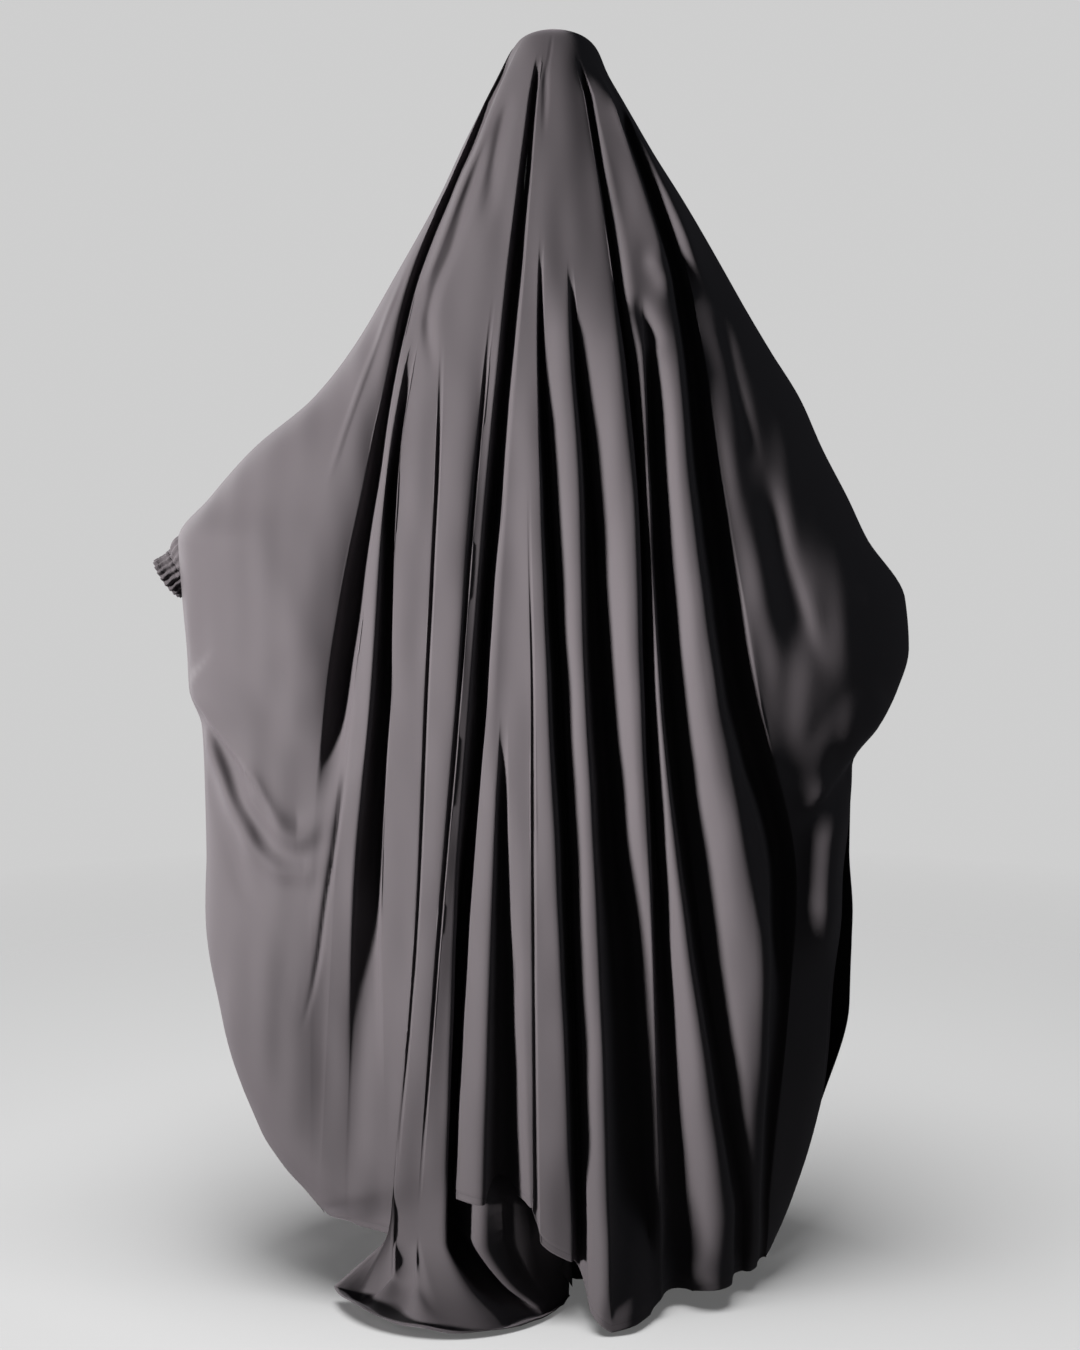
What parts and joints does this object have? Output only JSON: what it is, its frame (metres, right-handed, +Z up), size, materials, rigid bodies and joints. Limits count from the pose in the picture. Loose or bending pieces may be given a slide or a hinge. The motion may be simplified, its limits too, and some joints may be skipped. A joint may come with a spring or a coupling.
{
  "type": "two-piece jilbab",
  "caption": "Hooded overhead cape with sleeve ends and elastic cuffs over a long gathered skirt, hollow as worn, arms held out, with a short train at the back.",
  "frame": {"origin": "inner side of the hood's crown, where the wearer's head holds the cape; the floor is 1.73 m below", "axes": "+Z up; +Y the wearer's front, with the face opening; -Y the back, which the picture shows; +X the picture's right"},
  "size_m": [1.08, 0.62, 1.731],
  "materials": {
    "crepe": "matte charcoal crepe with a soft sheen",
    "gathered_crepe": "matte charcoal crepe gathered on elastic"
  },
  "bodies": {
    "root": {"cape_back_left": "crepe", "cape_back_right": "crepe", "cape_front": "crepe", "sleeve_end_left": "crepe", "sleeve_end_right": "crepe", "skirt_front": "crepe", "skirt_back": "crepe", "face_band": "gathered_crepe", "cuff_left": "gathered_crepe", "cuff_right": "gathered_crepe", "waistband": "gathered_crepe"}
  },
  "joints": []
}
